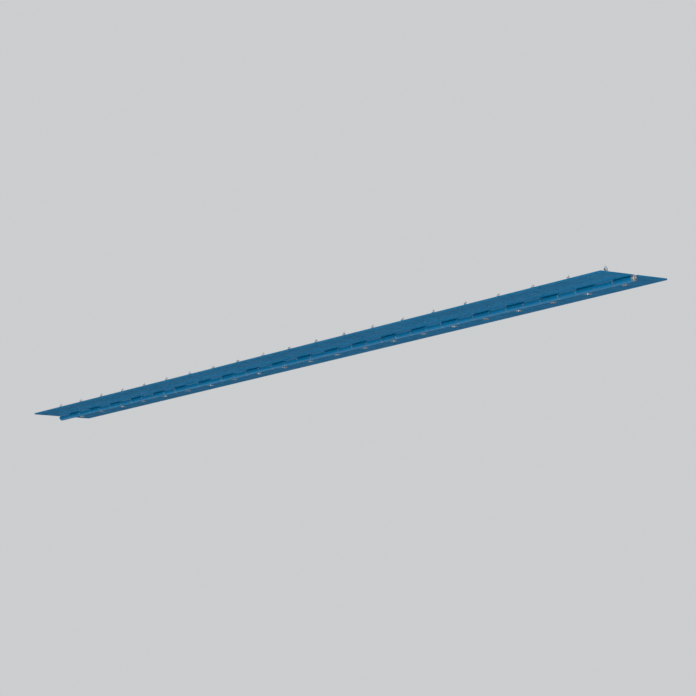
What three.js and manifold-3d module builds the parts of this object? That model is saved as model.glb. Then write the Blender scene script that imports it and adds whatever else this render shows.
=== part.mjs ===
// Piano hinge (continuous hinge) for a steel lift-up door, shown open flat.
// Two leaves of folded sheet steel, whose knuckles interlock on one long pin, each held by a row of countersunk screws.
//
// Frame, in millimetres: +X along the pin, +Y into the cabinet, +Z up.
// The origin is the middle of the cabinet leaf's mounting face, on its line of screws.
// The mounting faces of both leaves look up, and the barrel and the screw heads look down.
import * as THREE from "three";
import { mergeVertices } from "three/addons/utils/BufferGeometryUtils.js";
import Module from "manifold-3d";

// ---- Driving dimensions -------------------------------------------------
const KNUCKLE_PITCH = 25.4; // one knuckle and one gap
const KNUCKLES_PER_LEAF = 21;
const KNUCKLE_GAP = 0.4; // end play between neighbouring knuckles
const LEAF_THICKNESS = 1.5;
const LEAF_WIDTH = 35; // pin centre to free edge, 70 open
const PIN_RADIUS = 1.5875; // 3.175 mm pin
const BORE_RADIUS = 1.66; // inside of the rolled knuckle
const NOTCH_REACH = 3.65; // pin centre to the bottom of each notch
const CURL_END_DEG = 22.5; // the rolled edge stops this far above the pin's level, just under the leaf
const CURL_SEGMENTS = 26;
const PIN_SEGMENTS = 24;
const PIN_HEAD_RADIUS = 2.3; // spun-over ends of the pin
const PIN_HEAD_LENGTH = 0.8;
const PIN_HEAD_GAP = 0.2;

const SCREW_PITCH = 2 * KNUCKLE_PITCH;
const SCREW_LINE = 19.5; // pin centre to the line of screws
const SCREW_HEAD_RADIUS = 4.0;
const SCREW_HEAD_RIM = 0.15;
const SCREW_SHANK_RADIUS = 2.1;
const SCREW_LENGTH = 9.5; // head face to point
const SCREW_POINT = 3.0; // tapered end
const SCREW_SINK = 0.05; // head face below the leaf's face
const SCREW_GAP = 0.12; // between the head's cone and its countersink
const RECESS_WIDTH = 1.0;
const RECESS_SPAN = 4.2;
const RECESS_DEPTH = 1.4;
const ROUND_SEGMENTS = 12; // screws and screw holes

// ---- Derived dimensions -------------------------------------------------
const KNUCKLES = 2 * KNUCKLES_PER_LEAF;
const NOMINAL_LENGTH = KNUCKLES * KNUCKLE_PITCH; // 1066.8, a 42 inch hinge
const START = -NOMINAL_LENGTH / 2;
const LEAF_LENGTH = NOMINAL_LENGTH - KNUCKLE_GAP;
const BARREL_RADIUS = BORE_RADIUS + LEAF_THICKNESS;

// ---- Materials ----------------------------------------------------------
const paint = (name) =>
  new THREE.MeshStandardMaterial({
    name,
    color: 0x1480c4,
    roughness: 0.38,
    metalness: 0.0,
  });
const zinc = (name) =>
  new THREE.MeshStandardMaterial({
    name,
    color: 0xc3c7cb,
    roughness: 0.3,
    metalness: 1.0,
  });
const steel = (name) =>
  new THREE.MeshStandardMaterial({
    name,
    color: 0x9a9da1,
    roughness: 0.35,
    metalness: 1.0,
  });

// ---- Solids -------------------------------------------------------------
const wasm = await Module();
wasm.setup();

function solid(geometry) {
  const bare = geometry.clone();
  bare.deleteAttribute("normal");
  bare.deleteAttribute("uv");
  const merged = mergeVertices(bare, 1e-5);
  return new wasm.Manifold(
    new wasm.Mesh({
      numProp: 3,
      vertProperties: new Float32Array(merged.attributes.position.array),
      triVerts: new Uint32Array(merged.index.array),
    }),
  );
}

function geometryOf(made) {
  const m = made.getMesh();
  const positions = new Float32Array(m.numVert * 3);
  for (let i = 0; i < m.numVert; i++)
    for (let k = 0; k < 3; k++)
      positions[3 * i + k] = m.vertProperties[m.numProp * i + k];
  const g = new THREE.BufferGeometry();
  g.setAttribute("position", new THREE.BufferAttribute(positions, 3));
  g.setIndex(new THREE.BufferAttribute(new Uint32Array(m.triVerts), 1));
  const flat = g.toNonIndexed();
  flat.computeVertexNormals();
  return flat;
}

// A box between two corners.
function box(x0, y0, z0, x1, y1, z1) {
  const g = new THREE.BoxGeometry(x1 - x0, y1 - y0, z1 - z0);
  g.translate((x0 + x1) / 2, (y0 + y1) / 2, (z0 + z1) / 2);
  return solid(g);
}

// A solid of revolution about a vertical axis through (x, y), from [radius, height] pairs that start and end on the axis.
function turned(profile, x, y, segments) {
  const g = new THREE.LatheGeometry(
    profile.map(([r, z]) => new THREE.Vector2(r, z)),
    segments,
  );
  g.rotateX(Math.PI / 2);
  g.rotateZ(Math.PI / segments);
  g.translate(x, y, 0);
  return solid(g);
}

// The section of a leaf, in (y, z) about the pin's centre: a flat plate whose edge is rolled down and round the pin.
// side is +1 for the cabinet's leaf and -1 for the door's.
function leafSection(side) {
  const turn = (360 + CURL_END_DEG - 90) / CURL_SEGMENTS;
  const at = (radius, deg) => {
    const a = (deg * Math.PI) / 180;
    return [radius * Math.cos(a), radius * Math.sin(a)];
  };
  const points = [[LEAF_WIDTH, BARREL_RADIUS]];
  for (let i = 0; i <= CURL_SEGMENTS; i++)
    points.push(at(BARREL_RADIUS, 90 + i * turn));
  for (let i = CURL_SEGMENTS; i >= 0; i--)
    points.push(at(BORE_RADIUS, 90 + i * turn));
  points.push([LEAF_WIDTH, BORE_RADIUS]);
  const placed = points.map(([y, z]) => new THREE.Vector2(side * y, z));
  return new THREE.Shape(side > 0 ? placed : placed.reverse());
}

// Screws stand at the middle of each of the leaf's own knuckles, so the two rows are staggered.
const firstKnuckle = (side) => (side > 0 ? 0 : 1);
const screwX = (side, i) =>
  START + (firstKnuckle(side) + 2 * i + 0.5) * KNUCKLE_PITCH;

function leaf(side) {
  const g = new THREE.ExtrudeGeometry(leafSection(side), {
    depth: LEAF_LENGTH,
    bevelEnabled: false,
    steps: 1,
  });
  // The section's x is the part's y, its y is z, and the extrusion runs along x.
  g.applyMatrix4(
    new THREE.Matrix4().makeBasis(
      new THREE.Vector3(0, 1, 0),
      new THREE.Vector3(0, 0, 1),
      new THREE.Vector3(1, 0, 0),
    ),
  );
  g.translate(-LEAF_LENGTH / 2, 0, 0);
  let made = solid(g);

  // One notch for each knuckle of the other leaf.
  const reach = BARREL_RADIUS + 1;
  for (let i = 0; i < KNUCKLES; i++) {
    if (i % 2 === firstKnuckle(side)) continue;
    const first = i === 0;
    const last = i === KNUCKLES - 1;
    const x0 = START + i * KNUCKLE_PITCH - (first ? 5 : KNUCKLE_GAP / 2);
    const x1 = START + (i + 1) * KNUCKLE_PITCH + (last ? 5 : KNUCKLE_GAP / 2);
    const y0 = side > 0 ? -reach : -NOTCH_REACH;
    const y1 = side > 0 ? NOTCH_REACH : reach;
    made = made.subtract(box(x0, y0, -reach, x1, y1, reach));
  }

  // Countersunk holes, wide on the barrel's side, with 45 degree cones.
  const over = 1;
  const wide =
    SCREW_HEAD_RADIUS + SCREW_SINK + SCREW_HEAD_RIM + SCREW_GAP * Math.SQRT2;
  const narrow = wide - LEAF_THICKNESS;
  for (let i = 0; i < KNUCKLES_PER_LEAF; i++)
    made = made.subtract(
      turned(
        [
          [0, BORE_RADIUS - over],
          [wide + over, BORE_RADIUS - over],
          [narrow, BARREL_RADIUS],
          [narrow, BARREL_RADIUS + over],
          [0, BARREL_RADIUS + over],
        ],
        screwX(side, i),
        side * SCREW_LINE,
        ROUND_SEGMENTS,
      ),
    );
  return geometryOf(made);
}

// A countersunk tapping screw with a cross recess, head down and point up.
function screw(x, y) {
  const face = BORE_RADIUS + SCREW_SINK;
  const rim = face + SCREW_HEAD_RIM;
  const neck = rim + SCREW_HEAD_RADIUS - SCREW_SHANK_RADIUS;
  const end = face + SCREW_LENGTH;
  const body = turned(
    [
      [0, face],
      [SCREW_HEAD_RADIUS, face],
      [SCREW_HEAD_RADIUS, rim],
      [SCREW_SHANK_RADIUS, neck],
      [SCREW_SHANK_RADIUS, end - SCREW_POINT],
      [0, end],
    ],
    x,
    y,
    ROUND_SEGMENTS,
  );
  const w = RECESS_WIDTH / 2;
  const s = RECESS_SPAN / 2;
  const top = face + RECESS_DEPTH;
  const cross = box(x - s, y - w, face - 1, x + s, y + w, top).add(
    box(x - w, y - s, face - 1, x + w, y + s, top),
  );
  return geometryOf(body.subtract(cross));
}

// The pin runs the whole length and is spun over at each end.
function pin() {
  const half = LEAF_LENGTH / 2 + PIN_HEAD_GAP;
  const end = half + PIN_HEAD_LENGTH;
  const chamfer = 0.3;
  const g = new THREE.LatheGeometry(
    [
      [0, -end],
      [PIN_HEAD_RADIUS - chamfer, -end],
      [PIN_HEAD_RADIUS, -end + chamfer],
      [PIN_HEAD_RADIUS, -half],
      [PIN_RADIUS, -half],
      [PIN_RADIUS, half],
      [PIN_HEAD_RADIUS, half],
      [PIN_HEAD_RADIUS, end - chamfer],
      [PIN_HEAD_RADIUS - chamfer, end],
      [0, end],
    ].map(([r, x]) => new THREE.Vector2(r, x)),
    PIN_SEGMENTS,
  );
  g.rotateZ(-Math.PI / 2);
  return geometryOf(solid(g));
}

// ---- Assembly -----------------------------------------------------------
function named(name, geometry, material) {
  const mesh = new THREE.Mesh(geometry, material);
  mesh.name = name;
  return mesh;
}

const root = new THREE.Group();
const aboutPin = new THREE.Group(); // everything above is drawn about the pin's centre
aboutPin.position.set(0, -SCREW_LINE, -BARREL_RADIUS);
root.add(aboutPin);

const cabinetSide = new THREE.Group();
const doorSide = new THREE.Group();
aboutPin.add(cabinetSide, doorSide);

cabinetSide.add(named("cabinet_leaf", leaf(1), paint("cabinet_leaf_paint")));
cabinetSide.add(named("hinge_pin", pin(), steel("pin_steel")));
doorSide.add(named("door_leaf", leaf(-1), paint("door_leaf_paint")));
for (let i = 0; i < KNUCKLES_PER_LEAF; i++) {
  const number = String(i + 1).padStart(2, "0");
  cabinetSide.add(
    named(
      "cabinet_leaf_screw_" + number,
      screw(screwX(1, i), SCREW_LINE),
      zinc("cabinet_screw_zinc_" + number),
    ),
  );
  doorSide.add(
    named(
      "door_leaf_screw_" + number,
      screw(screwX(-1, i), -SCREW_LINE),
      paint("door_screw_paint_" + number),
    ),
  );
}

export default root;
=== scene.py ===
import math

import bmesh
import bpy
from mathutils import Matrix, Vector
from mathutils.geometry import delaunay_2d_cdt


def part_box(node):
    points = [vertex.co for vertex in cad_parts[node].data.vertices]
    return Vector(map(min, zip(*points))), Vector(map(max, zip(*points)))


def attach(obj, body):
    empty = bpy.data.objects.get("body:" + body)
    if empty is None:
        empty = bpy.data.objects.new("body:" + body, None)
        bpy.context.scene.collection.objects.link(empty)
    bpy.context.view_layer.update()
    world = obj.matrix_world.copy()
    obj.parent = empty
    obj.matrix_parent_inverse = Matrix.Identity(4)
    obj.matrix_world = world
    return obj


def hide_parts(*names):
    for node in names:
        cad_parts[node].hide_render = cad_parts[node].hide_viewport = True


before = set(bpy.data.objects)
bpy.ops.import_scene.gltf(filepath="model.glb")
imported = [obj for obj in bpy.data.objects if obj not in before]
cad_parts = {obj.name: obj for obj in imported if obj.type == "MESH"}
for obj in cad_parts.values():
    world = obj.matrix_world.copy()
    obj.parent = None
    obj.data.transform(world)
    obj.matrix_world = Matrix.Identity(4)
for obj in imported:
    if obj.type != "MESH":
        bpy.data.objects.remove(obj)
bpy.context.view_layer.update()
scene = bpy.context.scene
MM = 0.001

# ---------------------------------------------------------------- dimensions (mm), read from the frame where it holds them
pin_lo, pin_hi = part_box("hinge_pin")
PIN_Y = (pin_lo.y + pin_hi.y) / 2
PIN_Z = (pin_lo.z + pin_hi.z) / 2
leaf_lo, leaf_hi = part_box("cabinet_leaf")
LENGTH = (leaf_hi.x - leaf_lo.x) / MM          # 1066.4
WIDTH = (leaf_hi.y - PIN_Y) / MM               # 35, pin centre to free edge
OUTER = (leaf_hi.z - PIN_Z) / MM               # 3.16, outside of the barrel
THICK = 1.5
BORE = OUTER - THICK
NOTCH = 3.65
CURL_END = 22.5
KNUCKLES = 42
GAP = 0.4
PITCH = (LENGTH + GAP) / KNUCKLES              # 25.4
START = -(LENGTH + GAP) / 2
EDGE = 0.22                                    # rounding of the sheet's edges, as coated
SCREW_LINE = -PIN_Y / MM                        # 19.5, the row's origin lies on the line of screws
SINK_WIDE = 4.37                               # countersink radius at the leaf's face
SHAFT = 1.5875


def to_row(x, y, z):
    """A point in mm about the pin's centre, in the row's frame in metres."""
    return (x * MM, PIN_Y + y * MM, PIN_Z + z * MM)


# ---------------------------------------------------------------- node helpers
def new_material(name):
    m = bpy.data.materials.new(name)
    m.use_nodes = True
    nt = m.node_tree
    nt.nodes.clear()
    out = nt.nodes.new("ShaderNodeOutputMaterial")
    bsdf = nt.nodes.new("ShaderNodeBsdfPrincipled")
    nt.links.new(bsdf.outputs["BSDF"], out.inputs["Surface"])
    return m, nt, bsdf


def node(nt, kind, **values):
    n = nt.nodes.new(kind)
    for k, v in values.items():
        if hasattr(n, k):
            setattr(n, k, v)
        else:
            n.inputs[k].default_value = v
    return n


def math_node(nt, op, a, b=None, c=None, clamp=False):
    n = nt.nodes.new("ShaderNodeMath")
    n.operation = op
    n.use_clamp = clamp
    for i, v in enumerate((a, b, c)):
        if v is None:
            continue
        if isinstance(v, (int, float)):
            n.inputs[i].default_value = v
        else:
            nt.links.new(v, n.inputs[i])
    return n.outputs[0]


def noise(nt, vector, scale, detail=3.0, rough=0.5, distortion=0.0):
    n = nt.nodes.new("ShaderNodeTexNoise")
    n.inputs["Scale"].default_value = scale
    n.inputs["Detail"].default_value = detail
    n.inputs["Roughness"].default_value = rough
    n.inputs["Distortion"].default_value = distortion
    nt.links.new(vector, n.inputs["Vector"])
    return n.outputs["Fac"]


def remap(nt, value, a, b, c, d):
    n = nt.nodes.new("ShaderNodeMapRange")
    n.clamp = True
    for name, v in (("From Min", a), ("From Max", b), ("To Min", c), ("To Max", d)):
        n.inputs[name].default_value = v
    nt.links.new(value, n.inputs["Value"])
    return n.outputs["Result"]


def mix_color(nt, fac, a, b):
    n = nt.nodes.new("ShaderNodeMix")
    n.data_type = "RGBA"
    n.clamp_factor = True
    if isinstance(fac, (int, float)):
        n.inputs["Factor"].default_value = fac
    else:
        nt.links.new(fac, n.inputs["Factor"])
    for v, key in ((a, 6), (b, 7)):
        if isinstance(v, tuple):
            n.inputs[key].default_value = v
        else:
            nt.links.new(v, n.inputs[key])
    return n.outputs[2]


BLUE = (0.0015, 0.136, 0.288, 1)
BLUE_DEEP = (0.0012, 0.114, 0.248, 1)
BLUE_PALE = (0.005, 0.176, 0.350, 1)
STEEL = (0.42, 0.42, 0.43, 1)
STEEL_DARK = (0.20, 0.195, 0.19, 1)
ZINC = (0.60, 0.63, 0.66, 1)
ZINC_DULL = (0.40, 0.42, 0.44, 1)


def paint_material(name, worn_knuckles):
    """Gloss powder coat over steel: orange peel, slow colour drift, a paler line where the coat thins over edges, and rubbed steel at the knuckles' ends."""
    m, nt, bsdf = new_material(name)
    tc = nt.nodes.new("ShaderNodeTexCoord")
    pos = tc.outputs["Object"]
    edge = nt.nodes.new("ShaderNodeAttribute")
    edge.attribute_type = "GEOMETRY"
    edge.attribute_name = "edge"
    drift = noise(nt, pos, 9.0, 2.0)
    mottle = noise(nt, pos, 160.0, 4.0, 0.6)
    base = mix_color(nt, remap(nt, drift, 0.3, 0.7, 0.0, 0.65), BLUE, BLUE_DEEP)
    base = mix_color(nt, remap(nt, mottle, 0.45, 0.8, 0.0, 0.25), base, BLUE_PALE)
    thin = math_node(nt, "MULTIPLY", edge.outputs["Fac"], remap(nt, noise(nt, pos, 420.0, 3.0), 0.42, 0.62, 0.0, 0.55))
    base = mix_color(nt, thin, base, BLUE_PALE)
    # dust that settles as a thin grey film
    film = remap(nt, noise(nt, pos, 35.0, 6.0, 0.65), 0.50, 0.85, 0.0, 0.02)
    base = mix_color(nt, film, base, (0.17, 0.19, 0.20, 1))
    # long faint handling scratches, along the hinge and at a slant, that dull the gloss and pale the colour a little
    marks = None
    for turn, stretch, low in ((0.05, 0.05, 0.655), (0.9, 0.07, 0.675)):
        mp = nt.nodes.new("ShaderNodeMapping")
        mp.inputs["Rotation"].default_value = (0, 0, turn)
        mp.inputs["Scale"].default_value = (stretch, 1, 1)
        nt.links.new(pos, mp.inputs["Vector"])
        line = remap(nt, noise(nt, mp.outputs["Vector"], 1500.0, 2.0, 0.5), low, low + 0.05, 0.0, 1.0)
        marks = line if marks is None else math_node(nt, "MAXIMUM", marks, line)
    marks = math_node(nt, "MULTIPLY", marks, remap(nt, noise(nt, pos, 28.0, 3.0, 0.6), 0.48, 0.66, 0.0, 1.0))
    base = mix_color(nt, math_node(nt, "MULTIPLY", marks, 0.30), base, (0.06, 0.32, 0.56, 1))
    rough = remap(nt, noise(nt, pos, 60.0, 4.0, 0.6), 0.3, 0.75, 0.23, 0.37)
    rough = math_node(nt, "ADD", rough, math_node(nt, "MULTIPLY", marks, 0.18))
    metal = None
    if worn_knuckles:
        sep = nt.nodes.new("ShaderNodeSeparateXYZ")
        nt.links.new(pos, sep.inputs[0])
        u = math_node(nt, "DIVIDE", math_node(nt, "SUBTRACT", sep.outputs["X"], START * MM), PITCH * MM)
        f = math_node(nt, "FRACT", u)
        near = math_node(nt, "MINIMUM", f, math_node(nt, "SUBTRACT", 1.0, f))
        near = remap(nt, near, 0.35 / PITCH, 1.3 / PITCH, 1.0, 0.0)
        dy = math_node(nt, "SUBTRACT", sep.outputs["Y"], PIN_Y)
        dz = math_node(nt, "SUBTRACT", sep.outputs["Z"], PIN_Z)
        rr = math_node(nt, "SQRT", math_node(nt, "ADD", math_node(nt, "MULTIPLY", dy, dy), math_node(nt, "MULTIPLY", dz, dz)))
        on_barrel = remap(nt, rr, 3.3 * MM, 3.6 * MM, 1.0, 0.0)
        patch = noise(nt, pos, 1300.0, 4.0, 0.6)
        rub = math_node(nt, "MULTIPLY", near, on_barrel)
        rub = math_node(nt, "MULTIPLY", rub, remap(nt, patch, 0.40, 0.56, 0.0, 1.0))
        rub = math_node(nt, "MULTIPLY", rub, edge.outputs["Fac"])
        rub = math_node(nt, "MINIMUM", rub, 0.9)
        base = mix_color(nt, rub, base, STEEL)
        metal = rub
    nt.links.new(base, bsdf.inputs["Base Color"])
    nt.links.new(rough, bsdf.inputs["Roughness"])
    if metal is not None:
        nt.links.new(metal, bsdf.inputs["Metallic"])
    bsdf.inputs["IOR"].default_value = 1.5
    bsdf.inputs["Specular IOR Level"].default_value = 0.16
    bsdf.inputs["Coat Weight"].default_value = 0.05
    bsdf.inputs["Coat Roughness"].default_value = 0.12
    peel = noise(nt, pos, 620.0, 2.0, 0.45)
    fine = noise(nt, pos, 2600.0, 2.0, 0.5)
    height = math_node(nt, "ADD", math_node(nt, "MULTIPLY", peel, 1.0), math_node(nt, "MULTIPLY", fine, 0.2))
    height = math_node(nt, "SUBTRACT", height, math_node(nt, "MULTIPLY", marks, 0.10))
    bump = nt.nodes.new("ShaderNodeBump")
    bump.inputs["Strength"].default_value = 0.5
    bump.inputs["Distance"].default_value = 0.00008
    nt.links.new(height, bump.inputs["Height"])
    nt.links.new(bump.outputs["Normal"], bsdf.inputs["Normal"])
    return m


def metal_material(name, bright, dull, rough_lo, rough_hi, scale, streak=False):
    """Plated or drawn steel: patchy tone, fine scratches and uneven gloss."""
    m, nt, bsdf = new_material(name)
    tc = nt.nodes.new("ShaderNodeTexCoord")
    info = nt.nodes.new("ShaderNodeObjectInfo")
    shift = nt.nodes.new("ShaderNodeVectorMath")
    shift.operation = "ADD"
    nt.links.new(tc.outputs["Object"], shift.inputs[0])
    nt.links.new(info.outputs["Location"], shift.inputs[1])
    pos = shift.outputs[0]
    if streak:  # drawn along X
        mp = nt.nodes.new("ShaderNodeMapping")
        mp.inputs["Scale"].default_value = (0.04, 1, 1)
        nt.links.new(pos, mp.inputs["Vector"])
        fine_pos = mp.outputs["Vector"]
    else:
        fine_pos = pos
    patch = noise(nt, pos, scale, 4.0, 0.6)
    fine = noise(nt, fine_pos, scale * 9, 3.0, 0.55)
    base = mix_color(nt, remap(nt, patch, 0.35, 0.7, 0.0, 0.5), bright, dull)
    base = mix_color(nt, remap(nt, fine, 0.5, 0.8, 0.0, 0.2), base, dull)
    nt.links.new(base, bsdf.inputs["Base Color"])
    nt.links.new(remap(nt, fine, 0.25, 0.75, rough_lo, rough_hi), bsdf.inputs["Roughness"])
    bsdf.inputs["Metallic"].default_value = 1.0
    bump = nt.nodes.new("ShaderNodeBump")
    bump.inputs["Strength"].default_value = 0.2
    bump.inputs["Distance"].default_value = 0.00001
    nt.links.new(fine, bump.inputs["Height"])
    nt.links.new(bump.outputs["Normal"], bsdf.inputs["Normal"])
    return m


LEAF_PAINT = paint_material("blue_powder_coat", True)
SCREW_PAINT = paint_material("blue_powder_coat_screw", False)
ZINC_PLATE = metal_material("bright_zinc", ZINC, ZINC_DULL, 0.22, 0.32, 420.0)
PIN_STEEL = metal_material("drawn_steel", STEEL, STEEL_DARK, 0.24, 0.42, 500.0, streak=True)


# ---------------------------------------------------------------- mesh helpers
def finish_mesh(name, bm, materials, smooth=True, weighted=True):
    bmesh.ops.remove_doubles(bm, verts=bm.verts, dist=1e-7)
    bmesh.ops.recalc_face_normals(bm, faces=bm.faces)
    me = bpy.data.meshes.new(name)
    bm.to_mesh(me)
    bm.free()
    for m in materials:
        me.materials.append(m)
    for p in me.polygons:
        p.use_smooth = smooth
    ob = bpy.data.objects.new(name, me)
    scene.collection.objects.link(ob)
    if weighted:
        w = ob.modifiers.new("weighted_normals", "WEIGHTED_NORMAL")
        w.mode = "FACE_AREA"
        w.weight = 50
        w.keep_sharp = True
    return ob


# ---------------------------------------------------------------- leaves
ROLL = OUTER - THICK / 2                                     # radius of the sheet's middle in the curl
S_TIP = math.radians(270 + CURL_END) * ROLL                 # the rolled edge, along the sheet
ROWS = 45                                                    # rows round the curl
NEAR = 0.4                                                   # corners are followed by a point this far on, so that their rounding stays short


def rolled(side, x, s, n):
    """A point of the sheet before rolling, (x, s along the sheet past the tangent line, n out of its inner face), where it ends up."""
    r = BORE + n
    if s <= 0:
        return to_row(x, side * -s, r)
    a = math.pi / 2 + s / ROLL
    return to_row(x, side * r * math.cos(a), r * math.sin(a))


def rolled_direction(side, s, across, along, out):
    """A direction of the sheet before rolling, at s, where it ends up."""
    a = math.pi / 2 + max(s, 0.0) / ROLL
    e_s = Vector((0, -side * math.sin(a), math.cos(a)))
    e_n = Vector((0, side * math.cos(a), math.sin(a)))
    return (Vector((across, 0, 0)) + along * e_s + out * e_n).normalized()


def edge_levels():
    """(inset, n, outward share, n share, wear) through the sheet's rounded edge, from its inner face to its outer face."""
    out = []
    for k in range(4):
        a = math.radians(30 * k)
        out.append((EDGE * (1 - math.sin(a)), EDGE * (1 - math.cos(a)), math.sin(a), -math.cos(a), 0.0 if k == 0 else 1.0))
    return out + [(d, THICK - n, o, -m, w) for d, n, o, m, w in reversed(out)]


def columns(a, b):
    return [a + EDGE, a + 0.7, a + 2.5, (a + b) / 2, b - 2.5, b - 0.7, b - EDGE]


def leaf_outline(teeth, half):
    """The leaf's outline before rolling, anticlockwise: ((x, s), inward direction)."""
    root = -NOTCH
    sides = [root + NEAR, -1.8, 0.0] + [S_TIP * j / ROWS for j in range(1, ROWS)]
    spread = [-half + NEAR] + [START + (i + 0.5) * PITCH for i in range(KNUCKLES)] + [half - NEAR]
    heights = [-WIDTH + NEAR, -WIDTH * 0.7, -WIDTH * 0.4]
    pts = [((-half, -WIDTH), (1, 1))]
    pts += [((x, -WIDTH), (0, 1)) for x in spread]
    pts.append(((half, -WIDTH), (-1, 1)))
    pts += [((half, s), (-1, 0)) for s in heights]
    for k in range(len(teeth) - 1, -1, -1):
        a, b = teeth[k]
        if abs(b - half) < 1e-6:
            pts.append(((b, root - EDGE), (-1, 0)))
        else:
            if k == len(teeth) - 1:
                before = half
                pts += [((half, root - NEAR - EDGE), (-1, 0)), ((half, root), (-1, -1))]
            else:
                before = teeth[k + 1][0]
            pts += [((x, root), (0, -1)) for x in (before - NEAR, (before + b) / 2, b + NEAR)]
            pts.append(((b, root), (-1, -1)))
        pts += [((b, s), (-1, 0)) for s in sides]
        pts.append(((b, S_TIP), (-1, -1)))
        pts += [((x, S_TIP), (0, -1)) for x in reversed(columns(a, b)[1:-1])]
        pts.append(((a, S_TIP), (1, -1)))
        pts += [((a, s), (1, 0)) for s in reversed(sides)]
        if abs(a + half) < 1e-6:
            pts.append(((a, root - EDGE), (1, 0)))
        else:
            pts.append(((a, root), (1, -1)))
            if k == 0:
                pts += [((x, root), (0, -1)) for x in (a - NEAR, (a - half) / 2, -half + NEAR)]
                pts += [((-half, root), (1, -1)), ((-half, root - NEAR - EDGE), (1, 0))]
    pts += [((-half, s), (1, 0)) for s in reversed(heights)]
    return pts, [root - EDGE] + sides + [S_TIP - EDGE]


def key(x, s):
    return (round(x, 4), round(s, 4))


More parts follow.
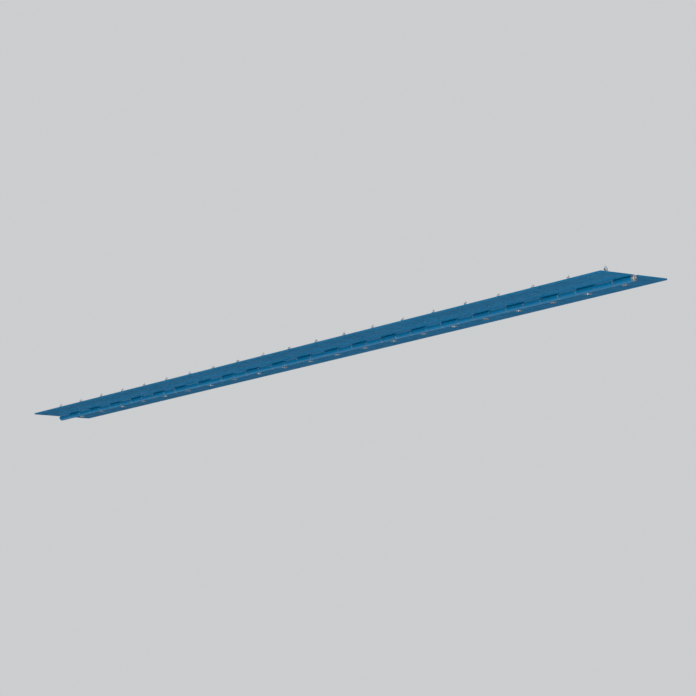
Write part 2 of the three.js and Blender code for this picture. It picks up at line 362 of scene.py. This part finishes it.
def build_leaf(side):
    first = 0 if side > 0 else 1
    half = LENGTH / 2
    teeth = [(START + i * PITCH + GAP / 2, START + (i + 1) * PITCH - GAP / 2) for i in range(first, KNUCKLES, 2)]
    centres = [(a + b) / 2 for a, b in teeth]
    outline, rows = leaf_outline(teeth, half)
    bm = bmesh.new()
    wear = bm.verts.layers.float.new("edge")
    facing = bm.verts.layers.float_vector.new("facing")

    def vert(x, s, n, direction, w=0.0):
        v = bm.verts.new(rolled(side, x, s, n))
        v[wear] = w
        v[facing] = rolled_direction(side, s, *direction)
        return v

    # the rounded edge all round
    rings = []
    for d, n, outward, through, w in edge_levels():
        ring = []
        for (px, ps), q in outline:
            qx, qs = Vector(q).normalized()
            ring.append(vert(px + d * q[0], ps + d * q[1], n, (-outward * qx, -outward * qs, through), w))
        rings.append(ring)
    count = len(outline)
    for r0, r1 in zip(rings, rings[1:]):
        for i in range(count):
            j = (i + 1) % count
            bm.faces.new((r0[i], r0[j], r1[j], r1[i]))

    # countersunk holes: (radius, n, share towards the axis, n share, wear)
    seg = 48
    hole = [
        (SINK_WIDE + 0.10, 0.0, 0.0, -1.0, 0.0), (SINK_WIDE + 0.01, 0.03, 0.38, -0.92, 1.0), (SINK_WIDE - 0.10, 0.11, 0.707, -0.707, 1.0),
        (SINK_WIDE - 0.75, 0.76, 0.707, -0.707, 0.0), (SINK_WIDE - 1.38, THICK - 0.12, 0.707, -0.707, 0.0),
        (SINK_WIDE - 1.46, THICK - 0.03, 1.0, 0.0, 1.0), (SINK_WIDE - 1.42, THICK, 0.0, 1.0, 0.0),
    ]
    circle = [(math.cos(2 * math.pi * k / seg), math.sin(2 * math.pi * k / seg)) for k in range(seg)]
    hole_rings = []
    for cx in centres:
        mine = [
            [vert(cx + r * c, -SCREW_LINE + r * t, n, (-inward * c, -inward * t, through), w) for c, t in circle]
            for r, n, inward, through, w in hole
        ]
        for r0, r1 in zip(mine, mine[1:]):
            for i in range(seg):
                j = (i + 1) % seg
                bm.faces.new((r0[i], r0[j], r1[j], r1[i]))
        hole_rings.append(mine)

    # the sheet's two faces: rows round each knuckle, and a triangulated plate with holes
    x0, x1 = -half + EDGE, half - EDGE
    s0, s1 = -WIDTH + EDGE, -NOTCH - EDGE
    for ring, n, through, which in ((rings[0], 0.0, -1.0, 0), (rings[-1], THICK, 1.0, -1)):
        index = {}
        for i, ((px, ps), (qx, qs)) in enumerate(outline):
            index[key(px + EDGE * qx, ps + EDGE * qs)] = ring[i]
        flat = (0.0, 0.0, through)
        roots = []
        for a, b in teeth:
            cols = columns(a, b)
            grid = []
            for j, s in enumerate(rows):
                line = []
                for c, x in enumerate(cols):
                    shared = c in (0, len(cols) - 1) or j == len(rows) - 1
                    line.append(index[key(x, s)] if shared else vert(x, s, n, flat))
                grid.append(line)
            roots += list(zip(cols[1:-1], grid[0][1:-1]))
            for l0, l1 in zip(grid, grid[1:]):
                for c in range(len(cols) - 1):
                    bm.faces.new((l0[c], l0[c + 1], l1[c + 1], l1[c]))

        listed = list(index.items())

        def line_of(test, order):
            return sorted([(k[0], k[1], v) for k, v in listed if test(*k)], key=order)

        low = line_of(lambda x, s: abs(s - s0) < 1e-3, lambda t: t[0])
        right = line_of(lambda x, s: abs(x - x1) < 1e-3 and s0 + 1e-3 < s < s1 - 1e-3, lambda t: t[1])
        high = line_of(lambda x, s: abs(s - s1) < 1e-3, lambda t: t[0]) + [(x, s1, v) for x, v in roots]
        high.sort(key=lambda t: -t[0])
        left = line_of(lambda x, s: abs(x - x0) < 1e-3 and s0 + 1e-3 < s < s1 - 1e-3, lambda t: -t[1])
        around = [(x, s0, v) for x, _, v in low] + [(x1, s, v) for _, s, v in right] + [(x, s1, v) for x, _, v in high] + [(x0, s, v) for _, s, v in left]
        pts, vs, owner = [], [], []

        def add(v, x, s, mark=-1):
            pts.append(Vector((x, s)))
            vs.append(v)
            owner.append(mark)
            return len(pts) - 1

        loop = [add(v, x, s) for x, s, v in around]
        edges = [(loop[i], loop[(i + 1) % len(loop)]) for i in range(len(loop))]
        for h, (mine, cx) in enumerate(zip(hole_rings, centres)):
            r = hole[which][0]
            ids = [add(mine[which][k], cx + r * c, -SCREW_LINE + r * t, h) for k, (c, t) in enumerate(circle)]
            edges += [(ids[i], ids[(i + 1) % seg]) for i in range(seg)]
            # points of the plate round the hole and between the holes, so that no triangle is long and thin
            for k in range(24):
                c, t = math.cos(2 * math.pi * k / 24), math.sin(2 * math.pi * k / 24)
                x, s = cx + (r + 2.6) * c, -SCREW_LINE + (r + 2.6) * t
                add(vert(x, s, n, flat), x, s)
            for dx in (-12.7, 0.0, 12.7, 25.4):
                x = cx + dx
                for s in (-8.0, -13.8, -SCREW_LINE, -25.2, -30.5):
                    if x0 + 2 < x < x1 - 2 and (dx or abs(s + SCREW_LINE) > 8):
                        add(vert(x, s, n, flat), x, s)
        got_v, _, got_f, orig_v, _, _ = delaunay_2d_cdt(pts, edges, [], 0, 1e-7)
        used = set()
        for f in got_f:
            marks = {owner[orig_v[i][0]] for i in f}
            if len(marks) == 1 and -1 not in marks:
                continue                                     # inside a hole
            (ax, ay), (bx, by), (cx2, cy2) = (got_v[i] for i in f)
            if abs((bx - ax) * (cy2 - ay) - (cx2 - ax) * (by - ay)) < 1e-4:
                continue                                     # along the straight border
            corner = [vs[orig_v[i][0]] for i in f]
            used.update(corner)
            bm.faces.new(corner)
        for v, mark in zip(vs, owner):
            if v not in used and not v.link_faces:
                bm.verts.remove(v)
    return bm


def make_leaf(name, node_name, side, body):
    bm = build_leaf(side)
    bmesh.ops.recalc_face_normals(bm, faces=bm.faces)
    left = sum(1 for e in bm.edges if not e.is_manifold)
    if left:
        print("NOTE", name, "has", left, "edges that aren't shared by two faces")
    me = bpy.data.meshes.new(name)
    bm.to_mesh(me)
    bm.free()
    me.materials.append(LEAF_PAINT)
    for p in me.polygons:
        p.use_smooth = True
    normals = [Vector(d.vector) for d in me.attributes["facing"].data]
    me.attributes.remove(me.attributes["facing"])
    me.normals_split_custom_set_from_vertices(normals)
    ob = bpy.data.objects.new(name, me)
    scene.collection.objects.link(ob)
    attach(ob, body)
    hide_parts(node_name)
    return ob


cabinet_leaf = make_leaf("cabinet_leaf_fine", "cabinet_leaf", 1, "cabinet_side")
door_leaf = make_leaf("door_leaf_fine", "door_leaf", -1, "door_side")


# ---------------------------------------------------------------- pin
def lathe_x(profile, seg):
    """A closed solid of revolution about the pin, from (x, r) pairs that start and end on the axis."""
    bm = bmesh.new()
    rings = []
    for x, r in profile:
        if r < 1e-9:
            rings.append([bm.verts.new(to_row(x, 0, 0))])
        else:
            rings.append([bm.verts.new(to_row(x, r * math.cos(2 * math.pi * k / seg), r * math.sin(2 * math.pi * k / seg))) for k in range(seg)])
    for r0, r1 in zip(rings, rings[1:]):
        for k in range(seg):
            j = (k + 1) % seg
            if len(r0) == 1:
                bm.faces.new((r0[0], r1[j], r1[k]))
            elif len(r1) == 1:
                bm.faces.new((r0[k], r0[j], r1[0]))
            else:
                bm.faces.new((r0[k], r0[j], r1[j], r1[k]))
    return bm


def pin_end():
    """(distance past the leaf's end, radius) from the shaft out to the spun-over head's dimple."""
    return [
        (-0.6, SHAFT), (0.10, SHAFT), (0.20, SHAFT + 0.06), (0.22, 2.10), (0.26, 2.22), (0.34, 2.29), (0.46, 2.30),
        (0.60, 2.26), (0.74, 2.14), (0.86, 1.95), (0.94, 1.70), (0.985, 1.40), (1.0, 1.10), (0.985, 0.80),
        (0.93, 0.55), (0.86, 0.36), (0.80, 0.18), (0.78, 0.0),
    ]


half = LENGTH / 2
right = [(half + d, r) for d, r in pin_end()]
left = [(-x, r) for x, r in reversed(right)]
stations = [(-half + 0.6 + (LENGTH - 1.2) * k / 24, SHAFT) for k in range(1, 24)]
pin = finish_mesh("hinge_pin_fine", lathe_x(left + stations + right, 48), [PIN_STEEL], weighted=False)
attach(pin, "cabinet_side")
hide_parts("hinge_pin")


# ---------------------------------------------------------------- screws
HEAD = 4.0
RIM = 0.15
MAJOR, MINOR = 2.1, 1.55
THREAD = 1.4
SCREW_LENGTH = 9.5
POINT = 3.0
QUADRANT = [0, 6.5, 13.1, 20, 27.5, 36, 45, 54, 62.5, 70, 76.9, 83.5]
ANGLES = [math.radians(q + 90 * k) for k in range(4) for q in QUADRANT]
WING, SPAN = 0.5, 2.15


def cross_radius(a):
    """Distance to a cross-shaped outline at that angle."""
    c, s = abs(math.cos(a)), abs(math.sin(a))
    along = max(c, s)
    across = min(c, s)
    reach = SPAN / along
    if across > 1e-9:
        reach = min(reach, WING / across)
    return reach


def screw_mesh(name, head_material, shank_material):
    bm = bmesh.new()
    wear = bm.verts.layers.float.new("edge")

    def ring(radius_of, z, w=0.0):
        out = []
        for a in ANGLES:
            r = radius_of(a)
            v = bm.verts.new((r * math.cos(a) * MM, r * math.sin(a) * MM, z * MM))
            v[wear] = w
            out.append(v)
        return out

    def join(r0, r1, material=0):
        n = len(r0)
        for k in range(n):
            f = bm.faces.new((r0[k], r0[(k + 1) % n], r1[(k + 1) % n], r1[k]))
            f.material_index = material

    def fan(r0, centre, material=0):
        n = len(r0)
        for k in range(n):
            f = bm.faces.new((r0[k], r0[(k + 1) % n], centre))
            f.material_index = material

    # the cross recess, from its floor up to the head's face
    floor = bm.verts.new((0, 0, 2.15 * MM))
    recess = [
        ring(lambda a: 0.30 * cross_radius(a), 1.95), ring(lambda a: 0.52 * cross_radius(a), 1.70),
        ring(lambda a: 0.78 * cross_radius(a), 0.95), ring(lambda a: 0.97 * cross_radius(a), 0.10),
        ring(lambda a: 1.00 * cross_radius(a) + 0.04, 0.03, 1.0), ring(lambda a: cross_radius(a) + 0.14, 0.0),
    ]
    fan(recess[0], floor)
    for r0, r1 in zip(recess, recess[1:]):
        join(r0, r1)
    # the head's face and its rim
    face = [recess[-1], ring(lambda a: 3.0, 0.0), ring(lambda a: HEAD - 0.14, 0.0), ring(lambda a: HEAD - 0.05, 0.025, 1.0),
            ring(lambda a: HEAD, 0.08, 1.0), ring(lambda a: HEAD, RIM, 1.0)]
    for r0, r1 in zip(face, face[1:]):
        join(r0, r1)
    # the cone under the head
    neck = RIM + HEAD - MINOR
    cone = [face[-1], ring(lambda a: HEAD - 0.35, RIM + 0.35), ring(lambda a: HEAD - 1.2, RIM + 1.2),
            ring(lambda a: MINOR + 0.22, neck - 0.20), ring(lambda a: MINOR + 0.05, neck - 0.02), ring(lambda a: MINOR, neck + 0.14)]
    for k, (r0, r1) in enumerate(zip(cone, cone[1:])):
        join(r0, r1, 0 if k == 0 else 1)

    # the thread, with a narrow crest and a wide root, fading in under the head and running out to the point
    def thread_radius(a, z):
        u = (z / THREAD - a / (2 * math.pi)) % 1.0
        crest = max(0.0, 1 - abs(u - 0.5) / 0.27)
        fade = min(1.0, max(0.0, (z - neck - 0.1) / 0.9))
        r = MINOR + (MAJOR - MINOR) * crest * fade
        left_over = SCREW_LENGTH - z
        if left_over < POINT:
            t = max(left_over / POINT, 0.0)
            r = MINOR * math.sqrt(t) * (0.35 + 0.65 * t) + (MAJOR - MINOR) * crest * fade * min(1.0, t * 1.6)
            r = min(r, MAJOR * (0.04 + 0.96 * t) + 0.02)
        return max(r, 0.0)

    last = cone[-1]
    z = neck + 0.14
    step = THREAD / 12
    while z + step < SCREW_LENGTH - 0.12:
        z += step
        new = ring(lambda a, z=z: thread_radius(a, z), z)
        join(last, new, 1)
        last = new
    tip = bm.verts.new((0, 0, SCREW_LENGTH * MM))
    fan(last, tip, 1)
    bmesh.ops.recalc_face_normals(bm, faces=bm.faces)
    me = bpy.data.meshes.new(name)
    bm.to_mesh(me)
    bm.free()
    me.materials.append(head_material)
    me.materials.append(shank_material)
    for p in me.polygons:
        p.use_smooth = True
    return me


ZINC_SCREW = screw_mesh("zinc_screw", ZINC_PLATE, ZINC_PLATE)
COATED_SCREW = screw_mesh("coated_screw", SCREW_PAINT, ZINC_PLATE)


def add_screw(node_name, mesh, body, turn):
    lo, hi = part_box(node_name)
    ob = bpy.data.objects.new(node_name + "_fine", mesh)
    ob.location = ((lo.x + hi.x) / 2, (lo.y + hi.y) / 2, lo.z)
    ob.rotation_euler = (0, 0, turn)
    scene.collection.objects.link(ob)
    w = ob.modifiers.new("weighted_normals", "WEIGHTED_NORMAL")
    w.mode = "FACE_AREA"
    w.weight = 50
    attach(ob, body)
    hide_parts(node_name)
    return ob


for i in range(1, 22):
    # each screw stops at its own angle
    add_screw(f"cabinet_leaf_screw_{i:02d}", ZINC_SCREW, "cabinet_side", math.radians((i * 137.5) % 90))
    add_screw(f"door_leaf_screw_{i:02d}", COATED_SCREW, "door_side", math.radians((i * 61.8 + 20) % 90))


# ---------------------------------------------------------------- stage
def make_floor():
    bm = bmesh.new()
    radius, z, sides = 14.0, -6.0, 128
    bm.faces.new([bm.verts.new((radius * math.cos(2 * math.pi * k / sides), radius * math.sin(2 * math.pi * k / sides), z)) for k in range(sides)])
    me = bpy.data.meshes.new("floor")
    bm.to_mesh(me)
    bm.free()
    ob = bpy.data.objects.new("floor", me)
    scene.collection.objects.link(ob)
    m, nt, bsdf = new_material("pale_floor")
    bsdf.inputs["Base Color"].default_value = (0.87, 0.88, 0.89, 1)
    bsdf.inputs["Roughness"].default_value = 0.9
    me.materials.append(m)
    return ob


make_floor()


def area_light(name, location, target, size_x, size_y, power, color=(1, 1, 1)):
    data = bpy.data.lights.new(name, "AREA")
    data.shape = "RECTANGLE"
    data.size, data.size_y = size_x, size_y
    data.energy = power
    data.color = color
    ob = bpy.data.objects.new(name, data)
    ob.location = location
    ob.rotation_euler = (Vector(target) - Vector(location)).to_track_quat("-Z", "Y").to_euler()
    scene.collection.objects.link(ob)
    return ob


CENTRE = Vector((0, PIN_Y, PIN_Z))
area_light("key", (0.9, -4.2, -0.85), CENTRE, 4.0, 0.9, 100, (1.0, 0.985, 0.96))
area_light("under", (1.5, -1.6, -4.2), CENTRE, 4.5, 3.0, 70, (0.95, 0.98, 1.0))
area_light("end", (4.6, 0.6, 0.4), CENTRE, 1.6, 2.2, 50, (1.0, 0.99, 0.97))
area_light("back", (-0.5, 4.0, 2.2), CENTRE, 5.0, 2.4, 55, (0.98, 0.99, 1.0))

world = bpy.data.worlds.new("studio")
world.use_nodes = True
wt = world.node_tree
wt.nodes.clear()
# a pale backdrop to look at, and a dimmer one to light by, so that the paint's own colour isn't washed out at grazing angles
seen = wt.nodes.new("ShaderNodeBackground")
seen.inputs["Color"].default_value = (0.86, 0.88, 0.90, 1)
seen.inputs["Strength"].default_value = 0.70
lit = wt.nodes.new("ShaderNodeBackground")
lit.inputs["Color"].default_value = (0.86, 0.88, 0.90, 1)
sky = wt.nodes.new("ShaderNodeTexCoord")
split = wt.nodes.new("ShaderNodeSeparateXYZ")
wt.links.new(sky.outputs["Generated"], split.inputs[0])
wt.links.new(remap(wt, split.outputs["Z"], -0.05, 0.75, 0.035, 0.95), lit.inputs["Strength"])
path = wt.nodes.new("ShaderNodeLightPath")
blend = wt.nodes.new("ShaderNodeMixShader")
wt.links.new(path.outputs["Is Camera Ray"], blend.inputs[0])
wt.links.new(lit.outputs[0], blend.inputs[1])
wt.links.new(seen.outputs[0], blend.inputs[2])
wt.links.new(blend.outputs[0], wt.nodes.new("ShaderNodeOutputWorld").inputs["Surface"])
scene.world = world
scene.view_settings.view_transform = "Standard"

# ---------------------------------------------------------------- camera: the photograph's station point, a longer lens
cam_data = bpy.data.cameras.new("camera")
cam = bpy.data.objects.new("camera", cam_data)
scene.collection.objects.link(cam)
scene.camera = cam
cam.location = CENTRE + Vector((2.242, -1.355, -0.396))
cam_data.sensor_width = 36.0
cam_data.lens = 138.0
cam_data.clip_start, cam_data.clip_end = 0.05, 200.0
cam_data.dof.use_dof = False
# aim at the point that puts the hinge's two ends equally far from the middle of the frame
ends = [CENTRE + Vector((sx * LENGTH / 2 * MM, 0, 0)) - cam.location for sx in (-1, 1)]
aim = (ends[0].normalized() + ends[1].normalized()).normalized()
cam.rotation_mode = "QUATERNION"
cam.rotation_quaternion = aim.to_track_quat("-Z", "Y")

bpy.context.view_layer.update()
